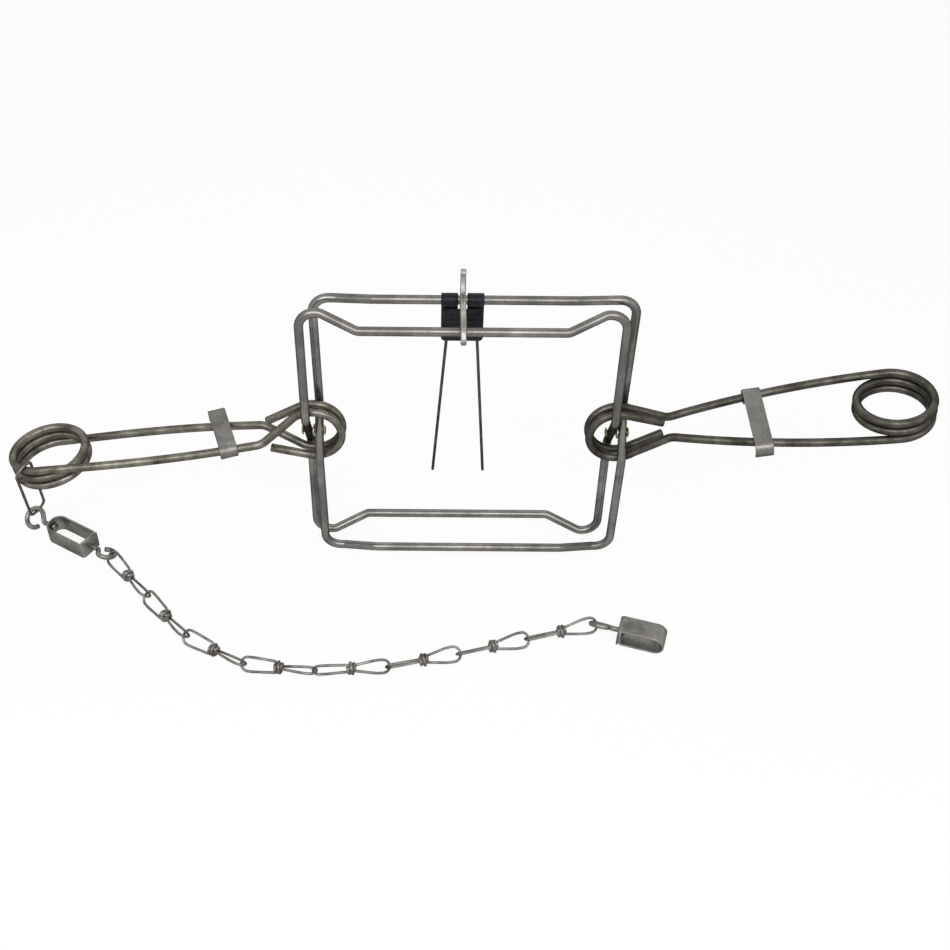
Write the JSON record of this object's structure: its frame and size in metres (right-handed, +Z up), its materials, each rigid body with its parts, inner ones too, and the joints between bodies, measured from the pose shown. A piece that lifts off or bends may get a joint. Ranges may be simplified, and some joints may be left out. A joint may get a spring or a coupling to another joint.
{
  "type": "body grip trap",
  "caption": "Set body grip trap: crossed square rod jaws, coil springs with eyes on the jaws and safety clips, trigger with dog and hanging wires, swivel and anchor chain.",
  "frame": {"origin": "on the floor under the middle of the whole object's box", "axes": "+X to the right along the jaws' pivot line, +Y to the rear, +Z up"},
  "size_m": [0.8112, 0.2114, 0.2861],
  "materials": {
    "jaw_rod": "satin, lightly worn",
    "spring_wire": "oil-darkened",
    "clip_strip": "satin",
    "black_sheet": "black oxide",
    "dog_plate": "satin",
    "trigger_wire": "dark",
    "rivet": "satin",
    "washer": "bright",
    "chain_wire": "dull",
    "strap": "dull"
  },
  "bodies": {
    "left_spring": {"left_spring": "spring_wire"},
    "left_clip": {"left_clip": "clip_strip"},
    "pivots": {"left_rivet": "rivet", "left_washer": "washer", "right_rivet": "rivet", "right_washer": "washer"},
    "front_jaw": {"jaw_front_top": "jaw_rod"},
    "rear_jaw": {"jaw_rear_top": "jaw_rod", "trigger_bracket": "black_sheet"},
    "dog": {"dog": "dog_plate"},
    "trigger_wires": {"trigger_wires": "trigger_wire"},
    "right_spring": {"right_spring": "spring_wire"},
    "right_clip": {"right_clip": "clip_strip"},
    "coil_ring": {"coil_ring": "chain_wire"},
    "swivel_ring_eye": {"swivel_ring_eye": "chain_wire"},
    "swivel_box": {"swivel_box": "strap"},
    "swivel_chain_eye": {"swivel_chain_eye": "chain_wire"},
    "chain_link_1": {"chain_link_1": "chain_wire"},
    "chain_link_2": {"chain_link_2": "chain_wire"},
    "chain_link_3": {"chain_link_3": "chain_wire"},
    "chain_link_4": {"chain_link_4": "chain_wire"},
    "chain_link_5": {"chain_link_5": "chain_wire"},
    "chain_link_6": {"chain_link_6": "chain_wire"},
    "chain_link_7": {"chain_link_7": "chain_wire"},
    "chain_link_8": {"chain_link_8": "chain_wire"},
    "end_eye": {"end_eye": "chain_wire"},
    "end_loop": {"end_loop": "strap"}
  },
  "joints": [
    {"name": "trap_swing", "type": "hinge", "parent": "left_spring", "child": "pivots", "pos_m": [-0.1247, 0.06252, 0.13482], "axis": [0, 1, 0], "range_deg": [-10, 10]},
    {"name": "front_jaw_close", "type": "hinge", "parent": "pivots", "child": "front_jaw", "pos_m": [0.0063, 0.06252, 0.13482], "axis": [1, 0, 0], "range_deg": [0, 70]},
    {"name": "rear_jaw_close", "type": "hinge", "parent": "pivots", "child": "rear_jaw", "pos_m": [0.0063, 0.06252, 0.13482], "axis": [1, 0, 0], "range_deg": [-70, 0]},
    {"name": "dog_lift", "type": "hinge", "parent": "rear_jaw", "child": "dog", "pos_m": [0.0016, 0.08442, 0.25662], "axis": [1, 0, 0], "range_deg": [-105, 0]},
    {"name": "trigger_swing", "type": "hinge", "parent": "rear_jaw", "child": "trigger_wires", "pos_m": [0.0016, 0.08442, 0.22162], "axis": [1, 0, 0], "range_deg": [-25, 25]},
    {"name": "right_spring_swing", "type": "hinge", "parent": "pivots", "child": "right_spring", "pos_m": [0.1373, 0.06252, 0.13482], "axis": [0, 1, 0], "range_deg": [-10, 10]},
    {"name": "left_clip_flip", "type": "hinge", "parent": "left_spring", "child": "left_clip", "pos_m": [-0.19726, 0.04421, 0.1266], "axis": [0.9503, 0.307, 0.0527], "range_deg": [0, 60]},
    {"name": "right_clip_flip", "type": "hinge", "parent": "right_spring", "child": "right_clip", "pos_m": [0.25445, 0.08759, 0.1563], "axis": [-0.9835, -0.0158, -0.18], "range_deg": [0, 60]},
    {"name": "ring_swing", "type": "hinge", "parent": "left_spring", "child": "coil_ring", "pos_m": [-0.37152, 0.03554, 0.11542], "axis": [-0.866, 0.5, 0], "range_deg": [0, 6]},
    {"name": "ring_eye_swing", "type": "hinge", "parent": "coil_ring", "child": "swivel_ring_eye", "pos_m": [-0.39503, 0.08536, 0.00993], "axis": [0, 0, 1], "range_deg": [-6, 6]},
    {"name": "box_spin", "type": "hinge", "parent": "swivel_ring_eye", "child": "swivel_box", "pos_m": [-0.35623, 0.05566, 0.0085], "axis": [0.8572, -0.515, 0], "continuous": true},
    {"name": "chain_eye_spin", "type": "hinge", "parent": "swivel_box", "child": "swivel_chain_eye", "pos_m": [-0.31937, 0.03351, 0.0085], "axis": [0.8572, -0.515, 0], "continuous": true},
    {"name": "link_1_turn", "type": "hinge", "parent": "swivel_chain_eye", "child": "chain_link_1", "pos_m": [-0.3152, 0.031, 0.0085], "axis": [0, 0, 1], "range_deg": [-6, 6]},
    {"name": "link_2_turn", "type": "hinge", "parent": "chain_link_1", "child": "chain_link_2", "pos_m": [-0.27486, -0.0154, 0.00615], "axis": [0, 0, 1], "range_deg": [-6, 6]},
    {"name": "link_3_turn", "type": "hinge", "parent": "chain_link_2", "child": "chain_link_3", "pos_m": [-0.23371, -0.0611, 0.00653], "axis": [0, 0, 1], "range_deg": [-6, 6]},
    {"name": "link_4_turn", "type": "hinge", "parent": "chain_link_3", "child": "chain_link_4", "pos_m": [-0.18045, -0.09185, 0.00729], "axis": [0, 0, 1], "range_deg": [-6, 6]},
    {"name": "link_5_turn", "type": "hinge", "parent": "chain_link_4", "child": "chain_link_5", "pos_m": [-0.11941, -0.09935, 0.00801], "axis": [0, 0, 1], "range_deg": [-6, 6]},
    {"name": "link_6_turn", "type": "hinge", "parent": "chain_link_5", "child": "chain_link_6", "pos_m": [-0.05814, -0.09399, 0.00729], "axis": [0, 0, 1], "range_deg": [-6, 6]},
    {"name": "link_7_turn", "type": "hinge", "parent": "chain_link_6", "child": "chain_link_7", "pos_m": [0.00153, -0.07911, 0.00638], "axis": [0, 0, 1], "range_deg": [-6, 6]},
    {"name": "link_8_turn", "type": "hinge", "parent": "chain_link_7", "child": "chain_link_8", "pos_m": [0.06068, -0.06215, 0.0063], "axis": [0, 0, 1], "range_deg": [-6, 6]},
    {"name": "end_eye_turn", "type": "hinge", "parent": "chain_link_8", "child": "end_eye", "pos_m": [0.12029, -0.04729, 0.009], "axis": [0, 0, 1], "range_deg": [-6, 6]},
    {"name": "end_loop_spin", "type": "hinge", "parent": "end_eye", "child": "end_loop", "pos_m": [0.15982, -0.05935, 0.009], "axis": [0.9563, -0.2924, 0], "continuous": true}
  ],
  "couplings": [
    {"joint": "rear_jaw_close", "follows": "front_jaw_close", "ratio": -1},
    {"joint": "dog_lift", "follows": "front_jaw_close", "ratio": -1.4}
  ]
}
